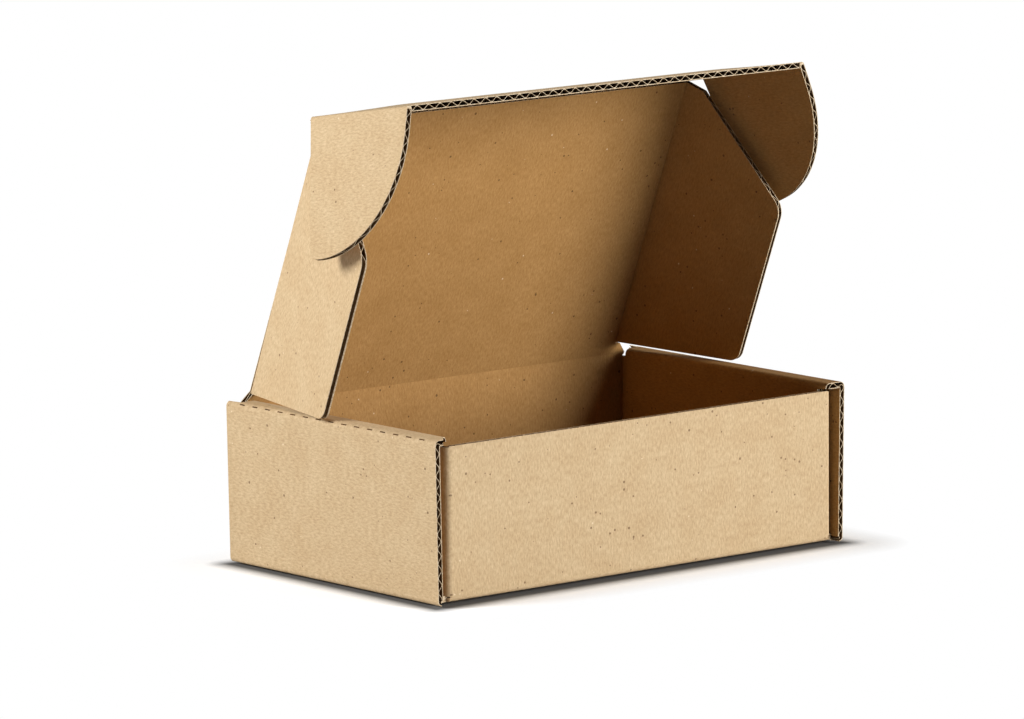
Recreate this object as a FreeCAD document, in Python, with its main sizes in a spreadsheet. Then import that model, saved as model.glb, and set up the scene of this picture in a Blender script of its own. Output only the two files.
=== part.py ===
import FreeCAD, Part
import os
import Sketcher
from FreeCAD import Placement, Rotation, Vector

# Corrugated mailer box, folded from one die-cut sheet and standing open.
# X runs along the long side, -Y is the front, Z is up. The origin is under the middle of the tray.

doc = FreeCAD.newDocument("mailer_box")
dims = doc.addObject("Spreadsheet::Sheet", "Dims")

# name, value, what it is (mm and degrees)
ROWS = [
    ("board", 2.8, "board thickness"),
    ("air", 0.15, "air between layers that lie on each other"),
    ("base_half", 120.0, "half of the outer length at the base"),
    ("splay", 1.2, "how far each side panel leans out at the rim"),
    ("side_half", 74.0, "half of the side panels' depth"),
    ("rim_top", 74.0, "height of the side rims"),
    ("roll_width", 11.6, "width of the strip across a rolled side wall"),
    ("roll_stop", 8.5, "rolled strip and inner panel, stopped short of the side panel's back edge"),
    ("front_set", 2.4, "front wall's face, behind the side panels' front edges"),
    ("back_set", 0.3, "back wall's face, inside the side panels' back edges"),
    ("wall_drop", 4.0, "front and back walls' tops, below the rims"),
    ("corner_len", 50.0, "length of the corner flaps inside the side walls"),
    ("tab_len", 20.0, "length of a lock tab"),
    ("tab_set", 40.0, "lock tab's middle, from the side panel's front or back edge"),
    ("slot_play", 0.2, "play round a lock tab in its slot"),
    ("crease_round", 2.3, "outer radius of the rolled rim"),
    ("fold_round", 2.0, "outer radius of the other folds"),
    ("base_inset", 2.1, "where the base's flat part ends, inside each outer face"),
    ("gap", 0.15, "gap beside a crease that turns"),
    ("seat", 0.1, "air between a wall's top or face and the board folded over it"),
    ("root_set", 7.8, "lid's end at its crease, inside the rim's outer edge"),
    ("flap_play", 2.0, "dust flap crease, inside the inner side panel"),
    ("flap_start", 6.5, "start of a dust flap's crease from the lid crease"),
    ("flap_stop", 1.8, "dust flap's crease, stopped short of the tuck crease"),
    ("flap_reach", 67.5, "width of a dust flap"),
    ("flap_low", 29.75, "start of its free edge"),
    ("flap_slope", 35.4, "length of its slanted edge along the lid"),
    ("flap_step", 10.5, "straight part before its slanted edge"),
    ("flap_round_low", 6.4, "corner radius near the lid crease"),
    ("flap_round_high", 9.0, "corner radius near the tuck flap"),
    ("tuck_lift", 1.0, "tuck flap's free edge, above the base when closed"),
    ("ear_set", 5.6, "ear crease, inside the rim's outer edge"),
    ("ear_start", 7.5, "start of an ear from the tuck crease"),
    ("ear_reach", 64.0, "reach of an ear"),
    ("ear_slant", 4.0, "slant of the ear's inner edge"),
    ("ear_flat", 16.5, "tuck flap's depth that the ear's outer curve leaves straight"),
    ("tip_round", 4.0, "radius of the ear's tip"),
    ("flute_pitch", 6.5, "pitch of the flutes"),
    ("liner", 0.35, "thickness of a liner"),
    ("crushed", 2.6, "board pressed solid along the tuck crease"),
    ("web_gap", 0.64, "thickness of the wave between two flutes, along the board"),
    ("flute_first", 4.6, "first flute from a dust flap's or an ear's crease"),
    ("tuck_flute_first", 5.15, "first flute from the tuck flap's end"),
    ("panel_flute_first", 6.2, "first flute from a side panel's foot"),
    ("strip_flute_first", 4.6, "first flute from a rolled strip's inner edge"),
    ("wall_flute_first", 5.3, "first flute from the front wall's end"),
    ("mouth_deep", 1.5, "depth of the tray's open flutes"),
    ("lid_angle", 68.0, "lid, opened from closed"),
    ("tuck_angle", 58.6, "tuck flap, folded in from the lid's plane"),
    ("flap_angle", 77.0, "dust flaps, folded in from the lid's plane"),
    ("ear_angle", 75.0, "ears, folded in from the tuck flap's plane"),
    ("perf_len", 3.6, "length of a perforation"),
    ("perf_first", 8.0, "first perforation from the side panel's front edge"),
    ("perf_pitch", 9.1, "pitch of the perforations"),
    ("perf_wide", 0.5, "width of a perforation"),
    ("perf_deep", 0.9, "depth of a perforation"),
]
# sizes that follow from those above: name, formula, what it is
FOLLOW = [
    ("rim_half", "base_half + splay", "half of the outer length at the rims"),
    ("roll_in", "rim_half - roll_width", "inner side panel's face, from the middle"),
    ("corner_out", "roll_in + 2 * board + air", "front and back walls' ends, from the middle"),
    ("roll_back", "side_half - roll_stop", "where the rolled strip and inner panel end at the back"),
    ("front_face", "side_half - front_set", "front wall's face, from the middle"),
    ("back_face", "side_half - back_set", "back wall's face, from the middle"),
    ("wall_top", "rim_top - wall_drop", "height of the front and back walls"),
    ("tab_at", "side_half - tab_set", "lock tab's distance from the middle"),
    ("hinge_y", "back_face - board / 2", "lid crease, distance behind the middle"),
    ("hinge_z", "wall_top + board / 2 + seat", "lid crease, height"),
    ("lid_len", "hinge_y + front_face + board / 2 + seat", "lid crease to tuck crease"),
    ("root_half", "rim_half - root_set", "half of the lid's length at its crease"),
    ("side_crease", "roll_in - flap_play", "dust flap crease, from the middle"),
    ("flap_end", "lid_len - flap_stop", "end of a dust flap's crease, from the lid crease"),
    ("flap_high", "lid_len - flap_slope", "end of its free edge"),
    ("tuck_depth", "hinge_z - tuck_lift", "depth of the tuck flap"),
    ("ear_crease", "rim_half - ear_set", "ear crease, from the middle"),
    ("tuck_half", "ear_crease - board / 2 - gap", "half of the tuck flap's length"),
    ("ear_round", "tuck_depth - ear_flat", "radius of the ear's outer curve"),
    ("tuck_flutes", "floor((2 * tuck_half - tuck_flute_first) / flute_pitch)", "its flutes"),
    ("flap_flutes", "floor((flap_reach - flute_first) / flute_pitch)", "flutes in a dust flap"),
    ("ear_flutes", "floor((ear_reach - flute_first) / flute_pitch)", "flutes in an ear"),
    ("panel_flutes", "floor((rim_top - board - panel_flute_first) / flute_pitch)",
     "flutes up a side panel"),
    ("wall_flutes", "floor((2 * corner_out - wall_flute_first) / flute_pitch)",
     "flutes along the front wall"),
    ("perf_count", "floor((side_half + roll_back - perf_first - perf_len) / perf_pitch) + 1",
     "perforations along a rim"),
]
table = [(name, str(value), words) for name, value, words in ROWS]
table += [(name, "=" + formula, words) for name, formula, words in FOLLOW]
for row, (name, text, words) in enumerate(table, start=1):
    dims.set("A%d" % row, words)
    dims.set("B%d" % row, text)
    dims.setAlias("B%d" % row, name)
doc.recompute()


def bind(obj, **links):
    # ties properties to expressions; a double underscore in a key stands for a dot
    for key, text in links.items():
        obj.setExpression(key.replace("__", "."), text)
    return obj


def outline(name, points, plane="XY", body=None):
    # closed outline whose corners are tied to the sheet, one pair of expressions per corner
    sketch = doc.addObject("Sketcher::SketchObject", name)
    if body:
        body.addObject(sketch)
    if plane == "XZ":
        sketch.Placement = Placement(Vector(0, 0, 0), Rotation(Vector(1, 0, 0), 90))
    add_loops(sketch, [points])
    return sketch


def add_loops(sketch, loops):
    for points in loops:
        first = sketch.GeometryCount
        count = len(points)
        starts = [Vector(Rotation(Vector(0, 0, 1), 360.0 * k / count).multVec(Vector(30, 0, 0)))
                  for k in range(count)]
        for k in range(count):
            line = Part.LineSegment(starts[k], starts[(k + 1) % count])
            sketch.addGeometry(line, False)
        for k in range(count):
            sketch.addConstraint(Sketcher.Constraint("Coincident", first + k, 2,
                                                     first + (k + 1) % count, 1))
        for k, (across, along) in enumerate(points):
            for kind, text in (("DistanceX", across), ("DistanceY", along)):
                start = starts[k].x if kind == "DistanceX" else starts[k].y
                number = sketch.addConstraint(Sketcher.Constraint(kind, -1, 1, first + k, 1, start))
                sketch.setExpression("Constraints[%d]" % number, text)


def extrude(name, sketch, length, start):
    # solid along Y from a sketch in the XZ plane
    solid = doc.addObject("Part::Extrusion", name)
    solid.Base = sketch
    solid.DirMode = "Custom"
    solid.Dir = Vector(0, 1, 0)
    solid.Solid = True
    bind(solid, LengthFwd=length, Placement__Base__y=start)
    return solid


def block(name, low, size):
    box = doc.addObject("Part::Box", name)
    bind(box, Placement__Base__x=low[0], Placement__Base__y=low[1], Placement__Base__z=low[2],
         Length=size[0], Width=size[1], Height=size[2])
    return box


def fuse(name, shapes):
    whole = doc.addObject("Part::MultiFuse", name)
    whole.Shapes = shapes
    whole.Refine = True
    return whole


def cut(name, base, tool):
    piece = doc.addObject("Part::Cut", name)
    piece.Base = base
    piece.Tool = tool
    piece.Refine = True
    return piece


def mirror(name, source):
    other = doc.addObject("Part::Mirroring", name)
    other.Source = source
    other.Normal = Vector(1, 0, 0)
    return other


def edges_at(shape, tests):
    # numbers of the edges whose two ends satisfy one of the tests
    found = []
    for number, edge in enumerate(shape.Edges, start=1):
        ends = [v.Point for v in edge.Vertexes]
        if len(ends) == 2 and any(test(ends[0]) and test(ends[1]) for test in tests):
            found.append(number)
    return found


def near(value, target):
    return abs(value - target) < 0.01


def rounded(name, base, tests, radius):
    doc.recompute()
    fillet = doc.addObject("Part::Fillet", name)
    fillet.Base = base
    size = dims.get(radius)
    fillet.Edges = [(n, size, size) for n in edges_at(base.Shape, tests)]
    return fillet


# A flute is drawn as two triangles, one against each liner, so that the wave stays between them.
HALF_PITCH = "(Dims.flute_pitch / 2)"
REACH = "(Dims.flute_pitch / 2 - Dims.web_gap / 2)"
TALL = "(2 * (Dims.board / 2 - Dims.liner) * %s / %s)" % (REACH, HALF_PITCH)


def flute_loops(first, spot):
    # spot turns a place along the board and a depth under its face into a corner
    after = "(%s + %s)" % (first, HALF_PITCH)
    near_face = "Dims.liner"
    far_face = "(Dims.board - Dims.liner)"
    low_loop = [spot(first + " - " + REACH, near_face), spot(first + " + " + REACH, near_face),
                spot(first, near_face + " + " + TALL)]
    high_loop = [spot(after + " - " + REACH, far_face), spot(after, far_face + " - " + TALL),
                 spot(after + " + " + REACH, far_face)]
    return [low_loop, high_loop]


def mouth_row(name, plane, spot, way, places):
    # open ends of flutes: one section, mouth_deep into the board and 1 mm out of it
    loops = flute_loops("0", spot)
    section = outline(name + "Section", loops[0], plane)
    add_loops(section, loops[1:])
    row = []
    for k, (x, y, z) in enumerate(places):
        mouth = doc.addObject("Part::Extrusion", "%s%02d" % (name, k + 1))
        mouth.Base = section
        mouth.DirMode = "Custom"
        mouth.Dir = way
        mouth.Solid = True
        bind(mouth, LengthFwd="Dims.mouth_deep + 1", Placement__Base__x=x, Placement__Base__y=y,
             Placement__Base__z=z)
        row.append(mouth)
    return row


# Tray: right-hand side wall, rolled over its rim into a double wall.
half = dims.get("base_half")
rim = dims.get("rim_top")
rim_half = dims.get("rim_half")
roll_in = dims.get("roll_in")
roll_plan = [
    ("Dims.base_half", "0"),
    ("Dims.rim_half", "Dims.rim_top"),
    ("Dims.roll_in", "Dims.rim_top"),
    ("Dims.roll_in", "Dims.board + Dims.air"),
    ("Dims.roll_in + Dims.board", "Dims.board + Dims.air"),
    ("Dims.roll_in + Dims.board", "Dims.rim_top - Dims.board"),
    ("Dims.rim_half - Dims.board", "Dims.rim_top - Dims.board"),
    ("Dims.base_half - Dims.board", "0"),
]
roll_sketch = outline("RollSection", roll_plan, "XZ")
roll_raw = extrude("RollRaw", roll_sketch, "Dims.side_half + Dims.roll_back", "-Dims.side_half")
roll = rounded("Roll", roll_raw, [
    lambda p: near(p.z, rim) and near(p.x, rim_half),
    lambda p: near(p.z, rim) and near(p.x, roll_in),
], "crease_round")
heel_plan = [
    ("Dims.base_half", "0"),
    ("Dims.rim_half", "Dims.rim_top"),
    ("Dims.rim_half - Dims.board", "Dims.rim_top"),
    ("Dims.base_half - Dims.board", "0"),
]
heel_sketch = outline("HeelSection", heel_plan, "XZ")
heel = extrude("Heel", heel_sketch, "Dims.side_half - Dims.roll_back + 1", "Dims.roll_back - 1")
# the inner panel stops behind the front wall; the rolled strip runs on over it
front_relief = block(
    "FrontRelief",
    ("Dims.roll_in - 1", "-Dims.side_half - 1", "0"),
    ("Dims.board + 1.5", "Dims.side_half - Dims.front_face + Dims.board + 2 * Dims.air + 1",
     "Dims.rim_top - Dims.board"))
roll_cut = cut("RollCut", roll, front_relief)
side_raw = fuse("SideRaw", [roll_cut, heel])
side_right = rounded("SideRight", side_raw, [
    lambda p: near(p.z, 0) and near(p.x, half),
], "fold_round")

tabs = []
for label, sign in (("Front", "-1"), ("Back", "1")):
    tabs.append(block(
        "LockTab" + label,
        ("Dims.roll_in", sign + " * Dims.tab_at - Dims.tab_len / 2",
         "Dims.air"),
        ("Dims.board", "Dims.tab_len", "Dims.board + 1")))
slots = []
for label, sign in (("Front", "-1"), ("Back", "1")):
    slots.append(block(
        "TabSlot" + label,
        ("Dims.roll_in - Dims.slot_play",
         sign + " * Dims.tab_at - Dims.tab_len / 2 - Dims.slot_play", "-1"),
        ("Dims.board + 2 * Dims.slot_play", "Dims.tab_len + 2 * Dims.slot_play",
         "Dims.board + 2")))
slots_right = fuse("SlotsRight", slots)
slots_left = mirror("SlotsLeft", slots_right)
slots_all = fuse("Slots", [slots_right, slots_left])

# Tray: base, front wall and back wall, each wall with a corner flap at both ends.
corner_out = "Dims.corner_out"
base = block("Base", ("-Dims.base_half + Dims.base_inset", "-Dims.front_face + Dims.base_inset", "0"),
             ("2 * (Dims.base_half - Dims.base_inset)",
              "Dims.front_face + Dims.back_face - 2 * Dims.base_inset", "Dims.board"))
base_slotted = cut("BaseSlotted", base, slots_all)
front = block("FrontWall", ("-" + corner_out, "-Dims.front_face", "0"),
              ("2 * " + corner_out, "Dims.board", "Dims.wall_top"))
back = block("BackWall", ("-" + corner_out, "Dims.back_face - Dims.board", "0"),
             ("2 * " + corner_out, "Dims.board", "Dims.wall_top"))
corners = []
for label, low in (("Front", "-Dims.front_face"), ("Back", "Dims.back_face - Dims.corner_len")):
    corners.append(block(
        "CornerFlap" + label,
        (corner_out + " - Dims.board", low, "Dims.board + Dims.air"),
        ("Dims.board", "Dims.corner_len", "Dims.wall_top - Dims.board - 3 * Dims.air")))
corners_right = fuse("CornersRight", corners)
corners_left = mirror("CornersLeft", corners_right)
doc.recompute()
corner_x = corners_right.Shape.BoundBox.XMax
walls = fuse("Walls", [front, back, corners_right, corners_left])
walls_round = rounded("WallsRound", walls, [
    lambda p: near(abs(p.x), corner_x) and near(p.y, -dims.get("front_face")),
    lambda p: near(abs(p.x), corner_x) and near(p.y, dims.get("back_face")),
    lambda p: near(p.z, 0) and near(p.y, -dims.get("front_face")),
    lambda p: near(p.z, 0) and near(p.y, dims.get("back_face")),
], "fold_round")

# Tray: perforations along the outer edge of each rim.
perfs = []
for k in range(int(dims.get("perf_count"))):
    perfs.append(block(
        "Perforation%02d" % (k + 1),
        ("Dims.rim_half - Dims.perf_deep",
         "-Dims.side_half + Dims.perf_first + %d * Dims.perf_pitch" % k,
         "Dims.rim_top - Dims.crease_round - Dims.perf_wide / 2"),
        ("Dims.perf_deep + 1", "Dims.perf_len", "Dims.perf_wide")))
side_tabs = fuse("SideTabs", [side_right] + tabs)

# Tray: open flutes at the front edges of the side panel and its rolled strip, and along the
# front wall's top.
up_panel = ["Dims.panel_flute_first + %d * Dims.flute_pitch" % k
            for k in range(int(dims.get("panel_flutes")))]
panel_mouths = mouth_row(
    "PanelMouth", "XZ", lambda along, depth: ("-(%s)" % depth, along), Vector(0, 1, 0),
    [("Dims.base_half + Dims.splay * (%s) / Dims.rim_top" % up, "-Dims.side_half - 1", up)
     for up in up_panel])
strip_mouths = mouth_row(
    "StripMouth", "XZ", lambda along, depth: (along, "-(%s)" % depth), Vector(0, 1, 0),
    [("Dims.roll_in + Dims.strip_flute_first", "-Dims.side_half - 1", "Dims.rim_top")])
wall_mouths = mouth_row(
    "WallMouth", "XY", lambda along, depth: (along, depth), Vector(0, 0, 1),
    [("Dims.wall_flute_first - Dims.corner_out + %d * Dims.flute_pitch" % k, "-Dims.front_face",
      "Dims.wall_top - Dims.mouth_deep") for k in range(int(dims.get("wall_flutes")))])
wall_tools = doc.addObject("Part::Compound", "WallTools")
wall_tools.Links = wall_mouths
walls_open = cut("WallsOpen", walls_round, wall_tools)
side_tools = doc.addObject("Part::Compound", "SideTools")
side_tools.Links = perfs + panel_mouths + strip_mouths
side_done = cut("SideDone", side_tabs, side_tools)
side_left = mirror("SideLeft", side_done)
tray = fuse("Tray", [base_slotted, walls_open, side_done, side_left])

# Lid panel: flat board with a round edge at its crease, drawn closed and turned open.
lid_plan = [
    ("-Dims.root_half", "0"),
    ("-Dims.root_half", "-0.8"),
    ("-Dims.side_crease - Dims.board / 2", "-Dims.flap_start + 3"),
    ("-Dims.side_crease - Dims.board / 2", "-Dims.flap_start + 0.5"),
    ("-Dims.side_crease + Dims.board / 2 + Dims.gap", "-Dims.flap_start + 0.5"),
    ("-Dims.side_crease + Dims.board / 2 + Dims.gap", "-Dims.lid_len + Dims.board / 2 + Dims.gap"),
    ("Dims.side_crease - Dims.board / 2 - Dims.gap", "-Dims.lid_len + Dims.board / 2 + Dims.gap"),
    ("Dims.side_crease - Dims.board / 2 - Dims.gap", "-Dims.flap_start + 0.5"),
    ("Dims.side_crease + Dims.board / 2", "-Dims.flap_start + 0.5"),
    ("Dims.side_crease + Dims.board / 2", "-Dims.flap_start + 3"),
    ("Dims.root_half", "-0.8"),
    ("Dims.root_half", "0"),
]
lid = doc.addObject("PartDesign::Body", "LidPanel")
lid_sketch = outline("LidOutline", lid_plan, "XY", lid)


def pad(body, name, sketch):
    slab = doc.addObject("PartDesign::Pad", name)
    body.addObject(slab)
    slab.Profile = sketch
    slab.Midplane = True
    bind(slab, Length="Dims.board")
    return slab


def round_edge(body, name, length, base, turn):
    # full-round board edge about a crease line
    rod = doc.addObject("PartDesign::AdditiveCylinder", name)
    body.addObject(rod)
    rod.Placement = Placement(Vector(0, 0, 0), turn)
    bind(rod, Radius="Dims.board / 2", Height=length, Placement__Base__x=base[0],
         Placement__Base__y=base[1])
    return rod


def fillet_at(body, name, feature, corners, radius):
    doc.recompute()
    picked = []
    for number, edge in enumerate(feature.Shape.Edges, start=1):
        ends = [v.Point for v in edge.Vertexes]
        for x, y in corners:
            if len(ends) == 2 and all(near(p.x, x) and near(p.y, y) for p in ends):
                picked.append("Edge%d" % number)
    fillet = doc.addObject("PartDesign::Fillet", name)
    body.addObject(fillet)
    fillet.Base = (feature, picked)
    bind(fillet, Radius=radius)
    return fillet


def flutes(body, name, first, count, start=""):
    # channels of one flute, repeated across the board: right through, or from a start line outwards
    loops = flute_loops(first, lambda along, depth: (along, "%s - Dims.board / 2" % depth))
    sketch = doc.addObject("Sketcher::SketchObject", name + "Section")
    body.addObject(sketch)
    sketch.Placement = Placement(Vector(0, 0, 0), Rotation(Vector(1, 0, 0), 90))
    add_loops(sketch, loops)
    pocket = doc.addObject("PartDesign::Pocket", name + "Pocket")
    body.addObject(pocket)
    pocket.Profile = sketch
    pocket.Type = 1
    if start:
        bind(sketch, Placement__Base__y=start)
        pocket.Reversed = True
    else:
        pocket.Midplane = True
    pattern = doc.addObject("PartDesign::LinearPattern", name + "Pattern")
    pattern.Originals = [pocket]
    pattern.Direction = (sketch, ["H_Axis"])
    body.addObject(pattern)
    bind(pattern, Occurrences=count, Length="Dims.flute_pitch * (%s - 1)" % count)
    body.Tip = pattern
    return pattern


ALONG_X = Rotation(Vector(0, 1, 0), 90)
ALONG_Y = Rotation(Vector(1, 0, 0), 90)

pad(lid, "LidPad", lid_sketch)
lid.Tip = round_edge(lid, "LidCrease", "2 * Dims.root_half", ("-Dims.root_half", "0"), ALONG_X)
LID_AT = ("create(<<placement>>; create(<<vector>>; 0; Dims.hinge_y; Dims.hinge_z);"
          " create(<<rotation>>; create(<<vector>>; 1; 0; 0); -Dims.lid_angle))")
TUCK_AT = (LID_AT + " * create(<<placement>>; create(<<vector>>; 0; -Dims.lid_len; 0);"
           " create(<<rotation>>; create(<<vector>>; 1; 0; 0); Dims.tuck_angle))")
bind(lid, Placement=LID_AT)

# Tuck flap: drawn in the lid's plane from its crease, with open flutes on its free edge.
tuck = doc.addObject("PartDesign::Body", "TuckFlap")
tuck_sketch = outline("TuckOutline", [
    ("-Dims.tuck_half", "0"),
    ("-Dims.tuck_half", "-Dims.tuck_depth"),
    ("Dims.tuck_half", "-Dims.tuck_depth"),
    ("Dims.tuck_half", "0"),
], "XY", tuck)
pad(tuck, "TuckPad", tuck_sketch)
round_edge(tuck, "TuckCrease", "2 * Dims.tuck_half", ("-Dims.tuck_half", "0"), ALONG_X)
flutes(tuck, "TuckFlute", "(Dims.tuck_flute_first - Dims.tuck_half)", "Dims.tuck_flutes",
       "-Dims.crushed")
bind(tuck, Placement=TUCK_AT)


def dust_flap(label, side, sign):
    body = doc.addObject("PartDesign::Body", label)
    reach = side + "Dims.flap_reach"
    sketch = outline(label + "Outline", [
        ("0", "-Dims.flap_start"),
        (reach, "-Dims.flap_low"),
        (reach, "-Dims.flap_high"),
        (side + "Dims.flap_step", "-Dims.flap_end"),
        ("0", "-Dims.flap_end"),
    ], "XY", body)
    slab = pad(body, label + "Pad", sketch)
    size = sign * dims.get("flap_reach")
    low = fillet_at(body, label + "RoundLow", slab, [(size, -dims.get("flap_low"))],
                    "Dims.flap_round_low")
    high = fillet_at(body, label + "RoundHigh", low, [(size, -dims.get("flap_high"))],
                     "Dims.flap_round_high")
    round_edge(body, label + "Crease", "Dims.flap_end - Dims.flap_start",
               ("0", "-Dims.flap_start"), ALONG_Y)
    flutes(body, label + "Flute", dims_first(side, "Dims.flap_flutes"), "Dims.flap_flutes")
    bind(body, Placement=(LID_AT + " * create(<<placement>>;"
                          " create(<<vector>>; %sDims.side_crease; 0; 0);"
                          " create(<<rotation>>; create(<<vector>>; 0; 1; 0);"
                          " %sDims.flap_angle))" % (side, side)))
    return body


def dims_first(side, count):
    # the left-hand pieces are mirrored, so their first flute lies furthest out
    if side == "":
        return "Dims.flute_first"
    return "-(Dims.flute_first + Dims.flute_pitch / 2 + (%s - 1) * Dims.flute_pitch)" % count


def ear(label, side, sign):
    body = doc.addObject("PartDesign::Body", label)
    reach = side + "Dims.ear_reach"
    sketch = outline(label + "Outline", [
        ("0", "-Dims.ear_start"),
        (reach, "-Dims.ear_start - Dims.ear_slant"),
        (reach, "-Dims.tuck_depth"),
        ("0", "-Dims.tuck_depth"),
    ], "XY", body)
    slab = pad(body, label + "Pad", sketch)
    size = sign * dims.get("ear_reach")
    curve = fillet_at(body, label + "Curve", slab, [(size, -dims.get("tuck_depth"))],
                      "Dims.ear_round")
    tip_y = -dims.get("ear_start") - dims.get("ear_slant")
    fillet_at(body, label + "Tip", curve, [(size, tip_y)], "Dims.tip_round")
    round_edge(body, label + "Crease", "Dims.tuck_depth - Dims.ear_start",
               ("0", "-Dims.ear_start"), ALONG_Y)
    flutes(body, label + "Flute", dims_first(side, "Dims.ear_flutes"), "Dims.ear_flutes")
    bind(body, Placement=(TUCK_AT + " * create(<<placement>>;"
                          " create(<<vector>>; %sDims.ear_crease; 0; 0);"
                          " create(<<rotation>>; create(<<vector>>; 0; 1; 0);"
                          " %sDims.ear_angle))" % (side, side)))
    return body


flap_right = dust_flap("DustFlapRight", "", 1)
flap_left = dust_flap("DustFlapLeft", "-", -1)
ear_right = ear("EarRight", "", 1)
ear_left = ear("EarLeft", "-", -1)
doc.recompute()

NODES = [
    (tray, "tray"),
    (lid, "lid_panel"),
    (flap_left, "dust_flap_left"),
    (flap_right, "dust_flap_right"),
    (tuck, "tuck_flap"),
    (ear_left, "ear_left"),
    (ear_right, "ear_right"),
]
for obj, node in NODES:
    obj.Label = node
doc.recompute()

for obj in doc.Objects:
    if "Invalid" in obj.State or "Error" in obj.State:
        raise RuntimeError("%s is in state %s" % (obj.Label, obj.State))
for obj, node in NODES:
    shape = obj.Shape
    if shape.isNull() or not shape.isValid() or len(shape.Solids) != 1:
        raise RuntimeError("%s has no single valid solid" % node)

os.makedirs("parts", exist_ok=True)
for obj, node in NODES:
    obj.Shape.exportStep("parts/%s.step" % node)
    box = obj.Shape.BoundBox
    print("%-16s %8.0f mm3  x %7.1f %7.1f  y %7.1f %7.1f  z %7.1f %7.1f  faces %d" % (
        node, obj.Shape.Volume, box.XMin, box.XMax, box.YMin, box.YMax, box.ZMin, box.ZMax,
        len(obj.Shape.Faces)))
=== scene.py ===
import bpy
import math
import numpy as np
from mathutils import Matrix, Vector


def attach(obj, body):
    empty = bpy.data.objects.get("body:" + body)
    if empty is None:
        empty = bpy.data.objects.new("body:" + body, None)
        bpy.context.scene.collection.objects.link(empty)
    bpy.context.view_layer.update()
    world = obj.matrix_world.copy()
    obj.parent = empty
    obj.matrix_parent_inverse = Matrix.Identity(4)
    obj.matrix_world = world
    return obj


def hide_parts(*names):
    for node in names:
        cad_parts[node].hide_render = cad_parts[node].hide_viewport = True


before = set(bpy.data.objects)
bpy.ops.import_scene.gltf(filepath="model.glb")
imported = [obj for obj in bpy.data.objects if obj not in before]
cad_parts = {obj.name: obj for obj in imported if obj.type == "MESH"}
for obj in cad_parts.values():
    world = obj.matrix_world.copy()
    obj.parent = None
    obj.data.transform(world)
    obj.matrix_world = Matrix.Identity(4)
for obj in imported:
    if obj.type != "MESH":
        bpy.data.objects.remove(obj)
bpy.context.view_layer.update()

# Corrugated mailer box. Lengths are in millimetres until a mesh is made.
BOARD = 2.8          # thickness of the single-wall board
HALF = BOARD / 2
LINER = 0.32         # the flat papers on its two faces
MEDIUM = 0.28        # the waved paper between them
PITCH = 6.5          # length of one flute
SHARP = math.radians(35.0)
LID_OPEN = math.radians(68.0)
TUCK_FOLD = math.radians(58.6)
FLAP_FOLD = math.radians(77.0)
EAR_FOLD = math.radians(75.0)
X = np.array([1.0, 0.0, 0.0])
Y = np.array([0.0, 1.0, 0.0])
Z = np.array([0.0, 0.0, 1.0])

# The lid's crease, the way up the lid from it, and the lid's outward normal.
HINGE = np.array([0.0, 72.3, 71.5])
LID_RUN = -Y * math.cos(LID_OPEN) + Z * math.sin(LID_OPEN)
LID_OUT = Y * math.sin(LID_OPEN) + Z * math.cos(LID_OPEN)
LID_LEN = 145.4
# The same for the tuck flap's crease.
TUCK_AT = HINGE + LID_RUN * LID_LEN
TUCK_RUN = LID_RUN * math.cos(TUCK_FOLD) - LID_OUT * math.sin(TUCK_FOLD)
TUCK_OUT = LID_OUT * math.cos(TUCK_FOLD) + LID_RUN * math.sin(TUCK_FOLD)
FLAP_AT = {-1: 108.2, 1: 107.6}      # the dust flaps' creases, left and right of the middle
FLAP_FOOT = {-1: 5.0, 1: 6.5}        # where the dust flaps start up the lid
TUCK_EDGE = 114.05                   # half of the tuck flap's length
EAR_AT = 115.6                       # the ears' creases
EAR_FOOT = 2.2                       # where the ears start along the tuck flap
TUCK_LEN = 70.5

# The tray: a base, walls that lean out a little, and rims that roll inwards.
TRAY_HALF = 74.0                     # half of its depth
RIM_TOP = 74.0
FOOT_HALF = 120.0                    # half of its width at the base
LEAN = 1.2
RIM_HALF = 121.2
INNER_HALF = RIM_HALF - 11.6         # inner face of the inner side panels
STRIP_EDGE = 116.5                   # where the base's board ends and the side's begins
BASE_FRONT, BASE_BACK = -69.6, 71.7
FRONT_FACE, BACK_FACE = 71.6, 73.7   # outer faces of the front and back walls
WALL_HIGH = 70.0
FLAP_HIGH = 69.5                     # top of the corner flaps
FRONT_LIFT = 0.5                     # the base bows up this much under the front wall
FLOOR_GAP = 0.001                    # metres; the gap that shows under the walls


# ---------------------------------------------------------------- materials

def linear(hexa):
    """sRGB hex colour turned to linear: each channel through the sRGB curve."""
    c = np.array([int(hexa[i:i + 2], 16) for i in (1, 3, 5)]) / 255.0
    c = np.where(c <= 0.04045, c / 12.92, ((c + 0.055) / 1.055) ** 2.4)
    return (float(c[0]), float(c[1]), float(c[2]), 1.0)


def node(tree, kind, links=None, out=0, **settings):
    """Adds a node and gives its output out. links maps an input's name or number to a value or to
    another node's output."""
    made = tree.nodes.new(kind)
    for key, value in settings.items():
        setattr(made, key, value)
    for key, value in (links or {}).items():
        socket = made.inputs[key]
        if isinstance(value, bpy.types.NodeSocket):
            tree.links.new(value, socket)
        else:
            socket.default_value = value
    return made.outputs[out]


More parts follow.
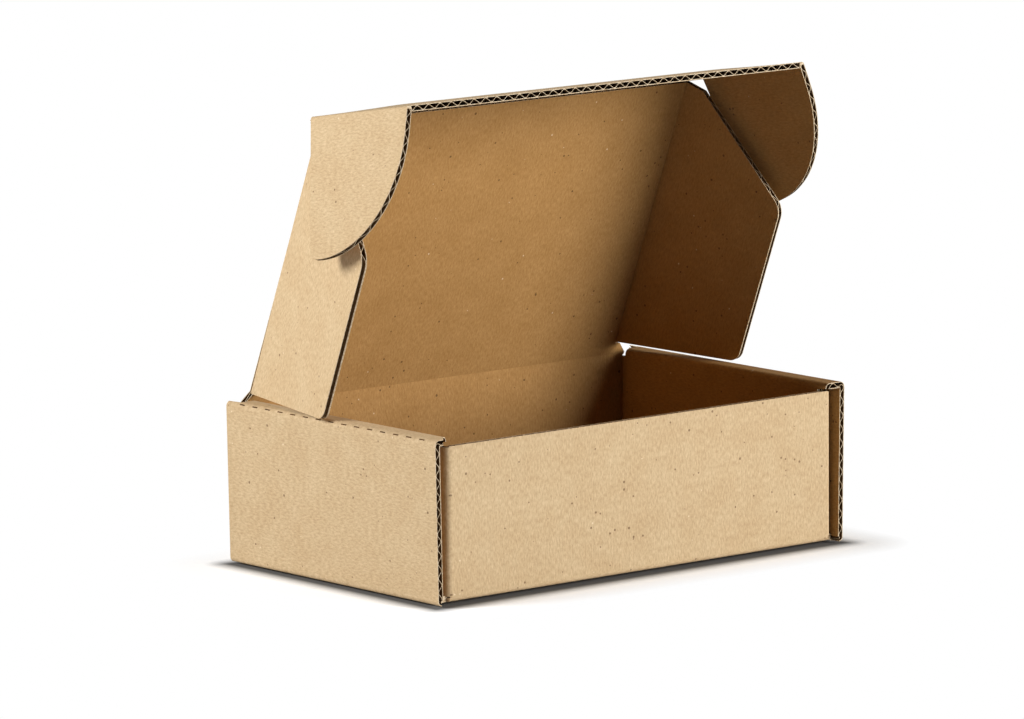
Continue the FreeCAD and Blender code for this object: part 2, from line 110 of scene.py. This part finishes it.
def flecks(tree, mm, colour, cells, channel, rare, radius, cover, shade):
    """Specks in the pulp: one point in each cell of the board, where only the cells whose random
    number is above rare hold a speck. cells is their number per millimetre, radius is in cells."""
    spot = node(tree, "ShaderNodeTexVoronoi", {"Vector": mm, "Scale": cells, "Randomness": 1.0},
                "Distance")
    pick = node(tree, "ShaderNodeSeparateColor", {0: spot.node.outputs["Color"]}, channel)
    size = node(tree, "ShaderNodeMapRange", {0: pick, 1: rare, 2: 1.0, 3: 0.0, 4: radius})
    speck = node(tree, "ShaderNodeMath", {0: spot, 1: size}, operation="LESS_THAN")
    amount = node(tree, "ShaderNodeMath", {0: speck, 1: cover}, operation="MULTIPLY")
    return node(tree, "ShaderNodeMix", {0: amount, 6: colour, 7: linear(shade)}, 2,
                data_type="RGBA")


def liner(name, light, mid, bark):
    """Unbleached kraft liner: recycled pulp pressed on a paper machine, so it is matt and cloudy,
    with fine fibres, dark bark flecks and a few pale ones, and the flutes show faintly through."""
    mat = bpy.data.materials.new(name)
    mat.use_nodes = True
    tree = mat.node_tree
    shader = tree.nodes["Principled BSDF"]
    uv = node(tree, "ShaderNodeUVMap", uv_map="sheet")
    # one unit of this coordinate is one millimetre of board
    mm = node(tree, "ShaderNodeMapping", {"Vector": uv, "Scale": (1000, 1000, 1000)})
    # clouds about 17 mm across
    cloud = node(tree, "ShaderNodeTexNoise", {"Vector": mm, "Scale": 0.06, "Detail": 5.0,
                                              "Roughness": 0.6})
    # fibres about 0.8 by 2.4 mm: real ones are finer than a pixel, so these are drawn coarser
    strands = node(tree, "ShaderNodeMapping", {"Vector": mm, "Scale": (1.6, 0.55, 1)})
    fibre = node(tree, "ShaderNodeTexNoise", {"Vector": strands, "Scale": 0.75, "Detail": 4.0,
                                              "Roughness": 0.75})
    cloudy = node(tree, "ShaderNodeMapRange", {0: cloud, 1: 0.35, 2: 0.65})
    colour = node(tree, "ShaderNodeMix", {0: cloudy, 6: linear(mid), 7: linear(light)}, 2,
                  data_type="RGBA")
    fibrous = node(tree, "ShaderNodeMapRange", {0: fibre, 1: 0.3, 2: 0.7})
    streaks = node(tree, "ShaderNodeMix",
                   {0: fibrous, 6: linear("#D2C9BC"), 7: linear("#FFFFFF")}, 2, data_type="RGBA")
    colour = node(tree, "ShaderNodeMix", {0: 1.0, 6: colour, 7: streaks}, 2, data_type="RGBA",
                  blend_type="MULTIPLY")
    # bark: cells 2.8 mm apart, specks up to 1.3 mm; pale shives: cells 3.7 mm apart, up to 0.9 mm
    colour = flecks(tree, mm, colour, 0.36, 0, 0.8, 0.23, 0.7, bark)
    colour = flecks(tree, mm, colour, 0.27, 1, 0.88, 0.12, 0.55, "#E9D8B8")
    # the flutes under the liner, one soft ridge per pitch
    across = node(tree, "ShaderNodeSeparateXYZ", {0: mm})
    turns = node(tree, "ShaderNodeMath", {0: across, 1: 2 * math.pi / PITCH}, operation="MULTIPLY")
    ridge = node(tree, "ShaderNodeMath", {0: turns}, operation="COSINE")
    height = node(tree, "ShaderNodeMath", {0: ridge, 1: 0.2, 2: fibre}, operation="MULTIPLY_ADD")
    bump = node(tree, "ShaderNodeBump", {"Height": height, "Strength": 0.4, "Distance": 0.0002})
    tree.links.new(bump, shader.inputs["Normal"])
    tree.links.new(colour, shader.inputs["Base Color"])
    shader.inputs["Roughness"].default_value = 0.82
    shader.inputs["Specular IOR Level"].default_value = 0.28
    return mat


def raw_paper(name, light, dark, scale):
    """Unpressed paper, duller than a liner's face, with a grain of 1/scale metres."""
    mat = bpy.data.materials.new(name)
    mat.use_nodes = True
    tree = mat.node_tree
    shader = tree.nodes["Principled BSDF"]
    spot = node(tree, "ShaderNodeTexCoord", None, "Object")
    grain = node(tree, "ShaderNodeTexNoise", {"Vector": spot, "Scale": scale, "Detail": 3.0})
    spread = node(tree, "ShaderNodeMapRange", {0: grain, 1: 0.35, 2: 0.65})
    colour = node(tree, "ShaderNodeMix", {0: spread, 6: linear(dark), 7: linear(light)}, 2,
                  data_type="RGBA")
    tree.links.new(colour, shader.inputs["Base Color"])
    shader.inputs["Roughness"].default_value = 0.9
    shader.inputs["Specular IOR Level"].default_value = 0.15
    return mat


# the sheet's outer face, pale brown, and its inner face, a browner pulp; the browner one is also
# put on stretches of the outer face inside the tray, as painted shade
KRAFT = liner("kraft_liner", "#D1B994", "#CBB18B", "#5A3C1E")
INNER_AND_PAINTED_SHADE = liner("kraft_inner_liner_and_painted_shade", "#B68C54", "#AF854D", "#44270F")
# die-cut edge: torn fibres, paler than the face
CUT = raw_paper("cut_liner_edge", "#D6C4A8", "#B39A78", 900)
# fluting, pressed into waves between rollers: grey-brown, and dark inside the flutes
WAVE = raw_paper("fluting_medium", "#7A5F42", "#5F4629", 700)
# punched perforation: the dark inside of the cut
SLIT = raw_paper("perforation_slit", "#5A3C1E", "#3A2410", 500)
BOARD_PAPERS = [KRAFT, CUT, WAVE, INNER_AND_PAINTED_SHADE]
OUTSIDE, EDGE, FLUTE, INSIDE = range(4)      # their places in that list


# ---------------------------------------------------------------- meshes

def build(name, body, shells, mats, stands_for=()):
    """One mesh from closed shells, each (points in mm, faces, uv per face corner in mm, slots)."""
    points, faces, uvs, slots, base = [], [], [], [], 0
    for p, f, uv, s in shells:
        points.append(p)
        faces.extend((np.asarray(f) + base).tolist())
        uvs.append(uv.reshape(-1, 2))
        slots.append(np.broadcast_to(np.asarray(s), (len(f),)))
        base += len(p)
    mesh = bpy.data.meshes.new(name)
    mesh.from_pydata((np.concatenate(points) / 1000).tolist(), [], faces)
    layer = mesh.uv_layers.new(name="sheet")
    layer.data.foreach_set("uv", (np.concatenate(uvs) / 1000).astype(np.float32).ravel())
    mesh.polygons.foreach_set("material_index", np.concatenate(slots).astype(np.int32))
    mesh.polygons.foreach_set("use_smooth", np.ones(len(faces), bool))
    for mat in mats:
        mesh.materials.append(mat)
    mesh.validate()
    mesh.set_sharp_from_angle(angle=SHARP)
    piece = bpy.data.objects.new(name, mesh)
    bpy.context.scene.collection.objects.link(piece)
    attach(piece, body)
    if stands_for:
        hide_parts(*stands_for)


def shell(at, out, run, a, lo, hi, top, bottom, rows=2, slots=(OUTSIDE, OUTSIDE, EDGE),
          shift=(0, 0), crown=0.0):
    """Closed sheet over a strip of board. Point (a, v) lies at at(a) + run * (lo + v * (hi - lo)),
    raised by crown * sin(pi v), and its two faces are offset by top(a) and bottom(a) along the
    normal out(a). slots are the materials of the upper face, the lower face and the rim."""
    n = len(a)
    v = np.linspace(0, 1, rows)
    b = lo[:, None] + (hi - lo)[:, None] * v
    mid = at[:, None, :] + run * b[..., None]
    lift = np.multiply.outer(np.broadcast_to(crown, (n,)), np.sin(math.pi * v))
    mid = mid + out[:, None, :] * lift[..., None]
    up = mid + out[:, None, :] * top[:, None, None]
    down = mid + out[:, None, :] * bottom[:, None, None]
    points = np.concatenate([up.reshape(-1, 3), down.reshape(-1, 3)])
    flat = np.stack([np.broadcast_to(a[:, None], b.shape), b], -1).reshape(-1, 2) + shift
    flat = np.concatenate([flat, flat])
    index = np.arange(n * rows).reshape(n, rows)
    upper = np.stack([index[:-1, :-1], index[1:, :-1], index[1:, 1:], index[:-1, 1:]], -1)
    upper = upper.reshape(-1, 4)
    ring = np.concatenate([index[:, 0], index[-1, 1:], index[-2::-1, -1], index[0, -2:0:-1]])
    after = np.roll(ring, -1)
    rim = np.stack([ring, ring + n * rows, after + n * rows, after], -1)
    faces = np.concatenate([upper, upper[:, ::-1] + n * rows, rim])
    step = at[-1] - at[0] if n < 3 else at[n // 2 + 1] - at[n // 2]
    if np.dot(np.cross(step, run), out[n // 2]) < 0:
        faces = faces[:, ::-1]
    face_slot = [np.repeat(np.broadcast_to(slot, (n - 1,)), rows - 1) for slot in slots[:2]]
    face_slot = np.concatenate(face_slot + [np.full(len(rim), slots[2])])
    return points, faces, flat[faces], face_slot


def board(at, out, run, a, lo, hi, outer=None, inner=None, shift=(0, 0), phase=0.0, rows=2,
          crown=0.0, faces=(OUTSIDE, INSIDE)):
    """Single-wall board: two liners, and between them a wave of height cos(2 pi a / pitch).
    outer and inner may give other lo, hi for a liner; faces are the two liners' materials, which
    may change along a. The liners' hidden faces take the fluting's shade."""
    half = np.full(len(a), HALF)
    rise = (HALF - LINER - MEDIUM / 2) * np.cos(2 * math.pi * a / PITCH + phase)
    inner_shift = (shift[0] + 400, shift[1])     # another part of the pattern
    inset = 0.15                                 # the wave ends short of the liners
    return [
        shell(at, out, run, a, *(outer or (lo, hi)), half, half - LINER, rows,
              (faces[0], FLUTE, EDGE), shift, crown),
        shell(at, out, run, a, *(inner or (lo, hi)), LINER - half, -half, rows,
              (FLUTE, faces[1], EDGE), inner_shift, crown),
        shell(at, out, run, a, lo + inset, hi - inset, rise + MEDIUM / 2, rise - MEDIUM / 2, rows,
              (FLUTE, FLUTE, EDGE), shift, crown)]


def pressed(at, out, run, a, lo, hi, shift=(0, 0)):
    """Flattened board: liners pressed on a solid middle, for small or hidden stretches."""
    half = np.full(len(a), HALF)
    return [shell(at, out, run, a, lo, hi, half, -half, 2, (OUTSIDE, INSIDE, EDGE), shift)]


def bead(start, end, out, away):
    """Full-round edge of a board along a crease: a half disc from out, past away, to -out,
    carried from start to end, with a fan of triangles on each end."""
    turn = np.linspace(0, math.pi, 13)
    arc = np.cos(turn)[:, None] * out + np.sin(turn)[:, None] * away
    points = np.concatenate([start + arc * HALF, end + arc * HALF])
    n = len(turn)
    i = np.arange(n)
    j = (i + 1) % n
    side = np.stack([i, j, j + n, i + n], -1)
    caps = [i, (i + n)[::-1]]
    if np.dot(np.cross(arc[1] - arc[0], end - start), arc[0]) < 0:
        side = side[:, ::-1]
        caps = [i[::-1], i + n]
    length = np.linalg.norm(end - start)
    flat = np.concatenate([np.stack([turn * HALF, np.zeros(n)], -1),
                           np.stack([turn * HALF, np.full(n, length)], -1)])
    fan = [np.stack([np.full(n - 2, cap[0]), cap[1:-1], cap[2:]], -1) for cap in caps]
    fan = np.concatenate(fan)
    return (points, side, flat[side], OUTSIDE), (points, fan, flat[fan], EDGE)


def fillet(corners, radii, steps=10):
    """Outline with round corners: each corner is swapped for the arc that touches both its sides.
    The arc is the vector from its centre to the first touching point, turned through the angle."""
    path = []
    corners = np.array(corners, float)
    for k, radius in enumerate(radii):
        corner = corners[k]
        if radius == 0:
            path.append(corner[None])
            continue
        back = corners[k - 1] - corner
        ahead = corners[(k + 1) % len(corners)] - corner
        back /= np.linalg.norm(back)
        ahead /= np.linalg.norm(ahead)
        half = math.acos(float(np.clip(back @ ahead, -1, 1))) / 2
        middle = back + ahead
        centre = corner + middle / np.linalg.norm(middle) * radius / math.sin(half)
        first = corner + back * radius / math.tan(half) - centre
        last = corner + ahead * radius / math.tan(half) - centre
        angle = math.atan2(first[0] * last[1] - first[1] * last[0], float(first @ last))
        turn = np.linspace(0, angle, steps + 1)[:, None]
        path.append(centre + np.cos(turn) * first + np.sin(turn) * np.array([-first[1], first[0]]))
    return np.concatenate(path)


def chains(path, steps):
    """Lower and upper edge of an outline over its width: lo(a), hi(a) on one shared grid of a."""
    left, right = path[:, 0].min(), path[:, 0].max()
    start = int(np.lexsort((path[:, 1], path[:, 0]))[0])
    path = np.roll(path, -start, axis=0)
    peak = np.flatnonzero(path[:, 0] >= right - 1e-6)
    low = path[:peak[0] + 1]
    high = path[peak[-1]:]
    if path[-1, 0] > left + 1e-6:
        high = np.concatenate([high, path[:1]])
    high = high[::-1]
    grid = np.unique(np.round(np.concatenate([np.linspace(left, right, steps), path[:, 0]]), 4))
    grid = grid[np.concatenate([[True], np.diff(grid) > 0.02])]
    return grid, np.interp(grid, low[:, 0], low[:, 1]), np.interp(grid, high[:, 0], high[:, 1])


def course(corners, radii, spacing=0.55):
    """Board's path in a plane: the filleted line through its corners at even steps of arc length,
    and its right-hand normal. Returns a, points and normals, the last two two-dimensional."""
    line = fillet(corners, [0, *radii, 0], 8)
    step = np.linalg.norm(np.diff(line, axis=0), axis=1)
    run = np.concatenate([[0], np.cumsum(step)])
    grid = np.unique(np.concatenate([np.arange(0, run[-1], spacing), run]))
    grid = grid[np.concatenate([[True], np.diff(grid) > 1e-4])]
    spot = np.stack([np.interp(grid, run, line[:, 0]), np.interp(grid, run, line[:, 1])], -1)
    way = np.gradient(spot, grid, axis=0)
    way /= np.linalg.norm(way, axis=1)[:, None]
    return grid, spot, np.stack([way[:, 1], -way[:, 0]], -1)


def flat_frame(origin, across, out, a):
    """A flat panel's points at(a) = origin + across * a, and its constant normal."""
    return origin + across * a[:, None], np.broadcast_to(out, (len(a), 3))


# ---------------------------------------------------------------- lid and flaps

def make_lid():
    """Lid: a flat board whose upper edge follows from its place a across it: up to the tuck crease
    between the flaps' creases, and beside them a low slanted shoulder at the root."""
    low, high = -FLAP_AT[-1], FLAP_AT[1]
    cut = HALF + 0.15
    root = 113.4
    shoulder, drop = 6.0, 5.2
    a = np.unique(np.concatenate([
        np.linspace(low + cut, high - cut, 330), [low + cut - 0.01, high - cut + 0.01],
        [-root, low - HALF, low, high, high + HALF, root]]))
    beyond = np.maximum(low - HALF - a, a - high - HALF)
    reach = np.where(a < 0, root + low - HALF, root - high - HALF)
    inside = (a >= low + cut) & (a <= high - cut)
    under_lip = (a >= low - 0.001) & (a <= high + 0.001)
    slope = np.where(beyond <= 0, shoulder, shoulder - beyond / reach * drop)
    hi = np.where(inside, LID_LEN - cut, slope)
    lip = np.where(inside, LID_LEN, np.where(under_lip, LID_LEN - 0.6, hi))
    lo = np.zeros(len(a))
    at, out = flat_frame(HINGE, X, LID_OUT, a)
    shells = board(at, out, LID_RUN, a, lo, hi, outer=(lo, lip), shift=(200, 150))
    shells += bead(HINGE - X * root, HINGE + X * root, LID_OUT, -LID_RUN)
    build("lid_board", "lid_panel", shells, BOARD_PAPERS, ("lid_panel",))


def make_dust_flap(side, label):
    """Dust flap: a flat board cut to a six-sided outline with two round corners, over its width."""
    across = X * side * math.cos(FLAP_FOLD) - LID_OUT * math.sin(FLAP_FOLD)
    out = X * side * math.sin(FLAP_FOLD) + LID_OUT * math.cos(FLAP_FOLD)
    origin = HINGE + X * side * FLAP_AT[side]
    foot, head, wide = FLAP_FOOT[side], 143.6, 67.5
    plan = fillet([(0, foot), (wide, 29.75), (wide, 110), (10.5, head), (0, head)],
                  [0, 6.4, 9, 0, 0])
    a, lo, hi = chains(plan, 150)
    at, normal = flat_frame(origin, across, out, a)
    shells = board(at, normal, LID_RUN, a, lo, hi, shift=(side * 300, 700), phase=1.2)
    shells += bead(origin + LID_RUN * foot, origin + LID_RUN * head, out, -across)
    build("dust_flap_%s_board" % label, "dust_flap_" + label, shells, BOARD_PAPERS,
          ("dust_flap_" + label,))


def make_tuck():
    """Tuck flap: a board that bows by a millimetre, less towards its ends, with an outer liner that
    reaches the ears' creases and two torn nicks, bell curves, in the inner liner's free edge."""
    edge = TUCK_EDGE
    a = np.unique(np.concatenate([np.linspace(-edge, edge, 420),
                                  [-EAR_AT, EAR_AT, -edge - 0.01, edge + 0.01]]))
    at, out = flat_frame(TUCK_AT, X, TUCK_OUT, a)
    lo = np.zeros(len(a))
    hi = np.full(len(a), TUCK_LEN)
    inside = np.abs(a) <= edge
    hi_in = np.where(inside, hi, 0.02)
    nick = 1.5 * np.exp(-((a + 3) / 2.2) ** 2) + 0.9 * np.exp(-((a - 8) / 3.0) ** 2)
    crown = 1.0 * np.clip((edge - np.abs(a)) / 25.0, 0, 1)
    shells = board(at, out, TUCK_RUN, a, lo, hi_in, outer=(np.where(inside, 0.0, EAR_FOOT), hi),
                   inner=(lo, hi_in - nick * inside), shift=(200, 900), phase=0.4, rows=13,
                   crown=crown)
    shells += bead(TUCK_AT - X * edge, TUCK_AT + X * edge, TUCK_OUT, -TUCK_RUN)
    build("tuck_board", "tuck_flap", shells, BOARD_PAPERS, ("tuck_flap",))


def make_ear(side, label):
    """Ear: a flat board with one great round corner, over its width."""
    across = X * side * math.cos(EAR_FOLD) - TUCK_OUT * math.sin(EAR_FOLD)
    out = X * side * math.sin(EAR_FOLD) + TUCK_OUT * math.cos(EAR_FOLD)
    origin = TUCK_AT + X * side * EAR_AT
    wide = 64
    plan = fillet([(0, EAR_FOOT), (wide, 11.5), (wide, TUCK_LEN), (0, TUCK_LEN)], [0, 4, 54, 0], 40)
    a, lo, hi = chains(plan, 150)
    at, normal = flat_frame(origin, across, out, a)
    shells = board(at, normal, TUCK_RUN, a, lo, hi, shift=(side * 500, 1100), phase=2.0)
    shells += bead(origin + TUCK_RUN * EAR_FOOT, origin + TUCK_RUN * TUCK_LEN, out, -across)
    build("ear_%s_board" % label, "ear_" + label, shells, BOARD_PAPERS, ("ear_" + label,))


# ---------------------------------------------------------------- tray

def make_side(side, label):
    """Side wall: one board that turns up from the base, rolls over the rim and goes down inside,
    the profile of its corners carried along Y, with lo and hi by its place on the profile."""
    corners = [(STRIP_EDGE, HALF), (FOOT_HALF - HALF, HALF),
               (FOOT_HALF + LEAN - HALF, RIM_TOP - HALF),
               (INNER_HALF + HALF, RIM_TOP - HALF), (INNER_HALF + HALF, 2.95)]
    a, spot, normal = course(corners, [0.7, 1.2, 1.2])
    x, z = spot[:, 0], spot[:, 1]
    at = np.stack([x * side, np.zeros(len(a)), z], -1)
    out = np.stack([normal[:, 0] * side, np.zeros(len(a)), normal[:, 1]], -1)
    # the profile's stretches: the inner panel, the strip across the rim, and the fold at the base
    inner = (x < INNER_HALF + 1.9) & (z < RIM_TOP - 3)
    strip = (x < 119.0) & (z > RIM_TOP - 3)
    under = (x < 117.9) & (z < 3)
    back_end = 65.5                              # strip and inner panel end short of the back wall
    front_end = -64.5 if side < 0 else -68.5     # of the inner panel
    lo = np.full(len(a), -TRAY_HALF)
    hi = np.full(len(a), TRAY_HALF)
    hi[inner | strip] = back_end
    lo[inner] = front_end
    if side < 0:
        # the left strip's front end is trimmed back, up to 8 mm towards its inner edge
        trim = np.clip((STRIP_EDGE - x) / (STRIP_EDGE - INNER_HALF), 0, 1)
        lo[strip] += 8.0 * trim[strip]
    lo[under] = BASE_FRONT
    hi[under] = BASE_BACK
    # painted shade: the inner panels show the sheet's pale outer liner, drawn in the browner inner
    # liner where it faces into the shaded tray; on the right this starts at the rim's top, over the
    # strip
    painted_shade_faces = inner[:-1] if side < 0 else (inner | strip)[:-1]
    shells = board(at, out, Y, a, lo, hi, shift=(side * 700, 300), rows=9,
                   faces=(np.where(painted_shade_faces, INSIDE, OUTSIDE), INSIDE))
    build("side_%s_board" % label, "tray", shells, BOARD_PAPERS, ("tray",) if side < 0 else ())


def make_wall(face, sign, label, jog):
    """Front or back wall: a board round the corner, across the wall and round the other corner.
    The left end of the front wall folds short and its flap steps out again behind it (jog)."""
    far = INNER_HALF + 2 * BOARD + 0.15 - HALF
    y = face - HALF
    end = face - 50.0
    corners = [(-far, end), (-far, y), (far, y), (far, end)]
    radii = [1.6, 1.6]
    if jog:
        corners[1:2] = [(-far, y - 7.5), (jog - far, y - 3.6), (jog - far, y)]
        radii = [1.0, 1.0, 1.6, 1.6]
    corners = [(x, v * sign) for x, v in corners]
    a, spot, normal = course(corners, radii)
    at = np.stack([spot[:, 0], spot[:, 1], np.zeros(len(a))], -1)
    out = np.stack([normal[:, 0], normal[:, 1], np.zeros(len(a))], -1)
    if out[len(a) // 2][1] * sign < 0:
        out = -out
    wall = (spot[:, 1] * sign > y - 0.2) & (np.abs(spot[:, 0]) < far - 1)
    lo = np.where(wall, 2.0 + (0 if sign > 0 else FRONT_LIFT), 3.0)
    # the back wall's liners go on up to the lid's crease
    tops = (WALL_HIGH, HINGE[2], HINGE[2] - 0.2) if sign > 0 else (WALL_HIGH,) * 3
    hi, hi_out, hi_in = (np.where(wall, top, FLAP_HIGH) for top in tops)
    shells = board(at, out, Z, a, lo, hi, outer=(lo, hi_out), inner=(lo, hi_in),
                   shift=(900, sign * 500))
    build("wall_%s_board" % label, "tray", shells, BOARD_PAPERS)


def make_base():
    """Base: a board with four slots that bows up a little to the front, by a parabola over its
    front 45 mm, and a quarter-round fold under the front and back walls."""
    parts = []
    slot_in, slot_out = 109.4, 112.6
    spans = [(-slot_in, slot_in, [(BASE_FRONT, BASE_BACK)])]
    # in a line of slots: before the first, between the two, after the second
    rows = [(BASE_FRONT, -44.2), (-23.8, 23.8), (44.2, BASE_BACK)]
    for side in (-1, 1):
        spans.append((side * slot_in, side * slot_out, rows))
        spans.append((side * slot_out, side * STRIP_EDGE, [(BASE_FRONT, BASE_BACK)]))
    for x0, x1, pieces in spans:
        x0, x1 = min(x0, x1), max(x0, x1)
        for y0, y1 in pieces:
            y = np.linspace(y0, y1, 40 if y1 - y0 > 60 else 12)
            rise = FRONT_LIFT * np.clip((-y - 24.6) / 45.0, 0, 1) ** 2
            at = np.stack([np.zeros(len(y)), y, HALF + rise], -1)
            out = np.broadcast_to(-Z, (len(y), 3))
            parts += pressed(at, out, X, y, np.full(len(y), x0), np.full(len(y), x1), (1500, 0))
    bend = 2.0
    right = 113.9
    for face, sign, lift, left in ((-FRONT_FACE, -1, FRONT_LIFT, -111.4),
                                   (BACK_FACE, 1, 0.0, -right)):
        turn = np.linspace(0, math.pi / 2, 7)
        n = len(turn)
        arc = np.stack([np.zeros(n), sign * np.sin(turn), -np.cos(turn)], -1)
        at = np.array([0.0, face - sign * bend, bend + lift]) + arc
        parts.append(shell(at, arc, X, turn * bend, np.full(n, left), np.full(n, right),
                           np.full(n, 1.0), np.full(n, -0.9), 2, (OUTSIDE, INSIDE, EDGE),
                           (1200, sign * 90)))
    build("base_board", "tray", parts, BOARD_PAPERS)


def make_tabs():
    """Lock tabs: the inner side panels' tongues, flush with the underside of the base."""
    parts = []
    half_tab = 10.0
    for side in (-1, 1):
        a = np.array([0.15, 3.4])
        at = np.stack([np.full(2, side * (INNER_HALF + HALF)), np.zeros(2), a], -1)
        out = np.broadcast_to(-X * side, (2, 3))
        for y in (-34.0, 34.0):
            ends = np.full(2, y - half_tab), np.full(2, y + half_tab)
            parts += pressed(at, out, Y, a, *ends, (1700, side * 50))
    build("lock_tabs", "tray", parts, BOARD_PAPERS)


def make_slits():
    """Perforations: short dark cuts along Y that follow the arc of the rim's outer edge."""
    parts = []
    radius = 2.6
    spacing, cut = 9.1, 3.6
    turn = np.radians(np.array([38.5, 45.0, 51.5]))
    for side in (-1, 1):
        centre = np.array([side * (RIM_HALF - radius), 0.0, RIM_TOP - radius])
        arc = np.stack([side * np.cos(turn), np.zeros(3), np.sin(turn)], -1)
        for y in -66.0 + spacing * np.arange(15):
            parts.append(shell(centre + arc * radius, arc, Y, turn * radius, np.full(3, y),
                               np.full(3, y + cut), np.full(3, 0.03), np.full(3, -0.3), 2,
                               (0, 0, 0)))
    build("perforation_slits", "tray", parts, [SLIT])


# ---------------------------------------------------------------- stage, lamps, camera

def make_floor():
    """White paper floor, a large square just under the box, with a painted contact shadow round the
    box's footprint.
    """
    mesh = bpy.data.meshes.new("floor")
    s, z = 6.0, -FLOOR_GAP
    mesh.from_pydata([(-s, -s, z), (s, -s, z), (s, s, z), (-s, s, z)], [], [(0, 1, 2, 3)])
    mat = bpy.data.materials.new("white_paper_floor")
    mat.use_nodes = True
    tree = mat.node_tree
    tree.nodes.remove(tree.nodes["Principled BSDF"])
    ray = node(tree, "ShaderNodeLightPath", None, "Is Camera Ray")
    # distance in metres from the box's footprint
    spot = node(tree, "ShaderNodeTexCoord", None, "Object")
    spot = node(tree, "ShaderNodeVectorMath", {0: spot}, operation="ABSOLUTE")
    spot = node(tree, "ShaderNodeVectorMath", {0: spot, 1: (0.121, 0.074, 1.0)},
                operation="SUBTRACT")
    spot = node(tree, "ShaderNodeVectorMath", {0: spot, 1: (0, 0, 0)}, operation="MAXIMUM")
    reach = node(tree, "ShaderNodeVectorMath", {0: spot}, "Value", operation="LENGTH")
    # plain paper for the light's bounces; for the camera the same paper over-exposed, with a
    # painted
    # contact shadow: dark under the box and lighter over 11 mm beyond the edges of its footprint
    bounce = node(tree, "ShaderNodeBsdfDiffuse", {0: (0.6, 0.6, 0.6, 1)})
    # painted contact shadow: brightness 0.14 at the footprint rising to 1.35 at 11 mm from it
    level = node(tree, "ShaderNodeMapRange", {0: reach, 1: 0.0, 2: 0.011, 3: 0.14, 4: 1.35})
    shade = node(tree, "ShaderNodeCombineColor", {0: level, 1: level, 2: level})
    bright = node(tree, "ShaderNodeBsdfDiffuse", {0: shade})
    near = node(tree, "ShaderNodeMixShader", {0: ray, 1: bounce, 2: bright})
    # and a few centimetres away burnt out to white
    away = node(tree, "ShaderNodeMapRange", {0: reach, 1: 0.002, 2: 0.03})
    far = node(tree, "ShaderNodeMath", {0: away, 1: ray}, operation="MULTIPLY")
    glow = node(tree, "ShaderNodeEmission", {0: (1, 1, 1, 1), 1: 1.0})
    mixed = node(tree, "ShaderNodeMixShader", {0: far, 1: near, 2: glow})
    tree.links.new(mixed, tree.nodes["Material Output"].inputs[0])
    mesh.materials.append(mat)
    floor = bpy.data.objects.new("floor", mesh)
    bpy.context.scene.collection.objects.link(floor)


def make_world():
    """White for the camera and in gloss, and a faint fill for the box."""
    world = bpy.data.worlds.new("studio")
    bpy.context.scene.world = world
    world.use_nodes = True
    tree = world.node_tree
    back = tree.nodes["Background"]
    ray = node(tree, "ShaderNodeLightPath").node.outputs
    seen = node(tree, "ShaderNodeMath", {0: ray["Is Camera Ray"], 1: ray["Is Glossy Ray"]},
                operation="MAXIMUM")
    seen = node(tree, "ShaderNodeMath", {0: seen, 1: ray["Is Transmission Ray"]},
                operation="MAXIMUM")
    power = node(tree, "ShaderNodeMapRange", {0: seen, 3: 0.02, 4: 1.0})
    back.inputs[0].default_value = (1, 1, 1, 1)
    tree.links.new(power, back.inputs[1])


def make_lamp(name, place, size, watts):
    """Round softbox, size in metres, aimed at the box."""
    data = bpy.data.lights.new(name, "AREA")
    data.shape = "DISK"
    data.size = size
    data.energy = watts
    light = bpy.data.objects.new(name, data)
    light.location = place
    aim = Vector((0, 0, 0.08)) - Vector(place)
    light.rotation_euler = aim.to_track_quat("-Z", "Y").to_euler()
    bpy.context.scene.collection.objects.link(light)


def make_camera():
    """Camera of the photograph: yaw from +Y towards +X, pitch down, a small roll, and a focal
    length of 7912 pixels in a picture 1024 pixels wide."""
    yaw, pitch, roll = math.radians(39.973), math.radians(9.009), math.radians(-0.43)
    data = bpy.data.cameras.new("camera")
    data.sensor_width = 36.0
    data.lens = 7912.0 / 1024 * data.sensor_width
    data.clip_start = 0.05
    data.clip_end = 50
    level = Vector((math.sin(yaw), math.cos(yaw), 0))
    ahead = level * math.cos(pitch) + Vector((0, 0, -math.sin(pitch)))
    right = Vector((math.cos(yaw), -math.sin(yaw), 0))
    up = right.cross(ahead)
    r = right * math.cos(roll) + up * math.sin(roll)
    u = up * math.cos(roll) - right * math.sin(roll)
    cam = bpy.data.objects.new("camera", data)
    turn = Matrix((r, u, -ahead)).transposed().to_4x4()
    cam.matrix_world = Matrix.Translation((-2.28652, -2.71000, 0.65059)) @ turn
    bpy.context.scene.collection.objects.link(cam)
    bpy.context.scene.camera = cam


make_lid()
make_dust_flap(-1, "left")
make_dust_flap(1, "right")
make_tuck()
make_ear(-1, "left")
make_ear(1, "right")
make_side(-1, "left")
make_side(1, "right")
make_wall(FRONT_FACE, -1, "front", 2.75)
make_wall(BACK_FACE, 1, "back", 0)
make_base()
make_tabs()
make_slits()
make_floor()
make_world()
make_lamp("key_left", (-1.6, 0.8, 0.9), 0.9, 48)
make_lamp("key_front", (1.05, -1.8, 0.6), 1.2, 62)
make_camera()
bpy.context.scene.view_settings.view_transform = "Standard"

bpy.context.view_layer.update()
